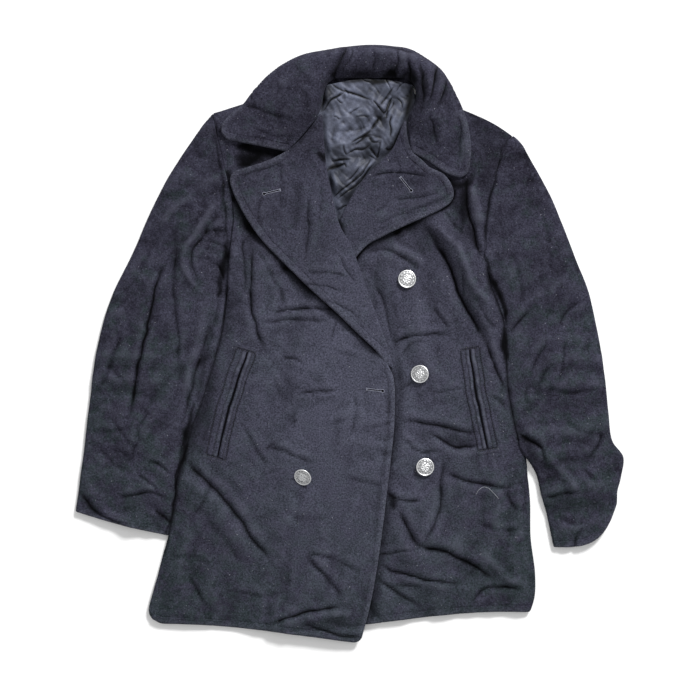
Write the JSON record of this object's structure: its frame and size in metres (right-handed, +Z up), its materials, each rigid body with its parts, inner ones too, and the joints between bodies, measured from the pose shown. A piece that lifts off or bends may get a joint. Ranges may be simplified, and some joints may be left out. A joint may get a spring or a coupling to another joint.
{
  "type": "pea coat",
  "caption": "Double-breasted wool pea coat laid out flat on its back, lapels turned open, with metal buttons and slanted welt pockets.",
  "frame": {"origin": "middle of the coat's outline, on the surface it lies on", "axes": "+X across the coat towards the sleeve on the side of the under front, +Y from the hem to the collar, +Z up off the surface"},
  "size_m": [0.7726, 0.8438, 0.0357],
  "materials": {
    "melton": "matte brushed wool",
    "satin": "satin",
    "pewter": "satin"
  },
  "bodies": {
    "root": {"back": "melton", "front_over": "melton", "front_under": "melton", "lapel_over": "melton", "lapel_under": "melton", "collar": "melton", "lining": "satin", "sleeve_left_top": "melton", "sleeve_left_under": "melton", "sleeve_right_top": "melton", "sleeve_right_under": "melton", "pocket_left_front_welt": "melton", "pocket_left_side_welt": "melton", "pocket_right_front_welt": "melton", "pocket_right_side_welt": "melton", "button_top": "pewter", "button_middle": "pewter", "button_lower": "pewter", "button_over": "pewter"}
  },
  "joints": []
}
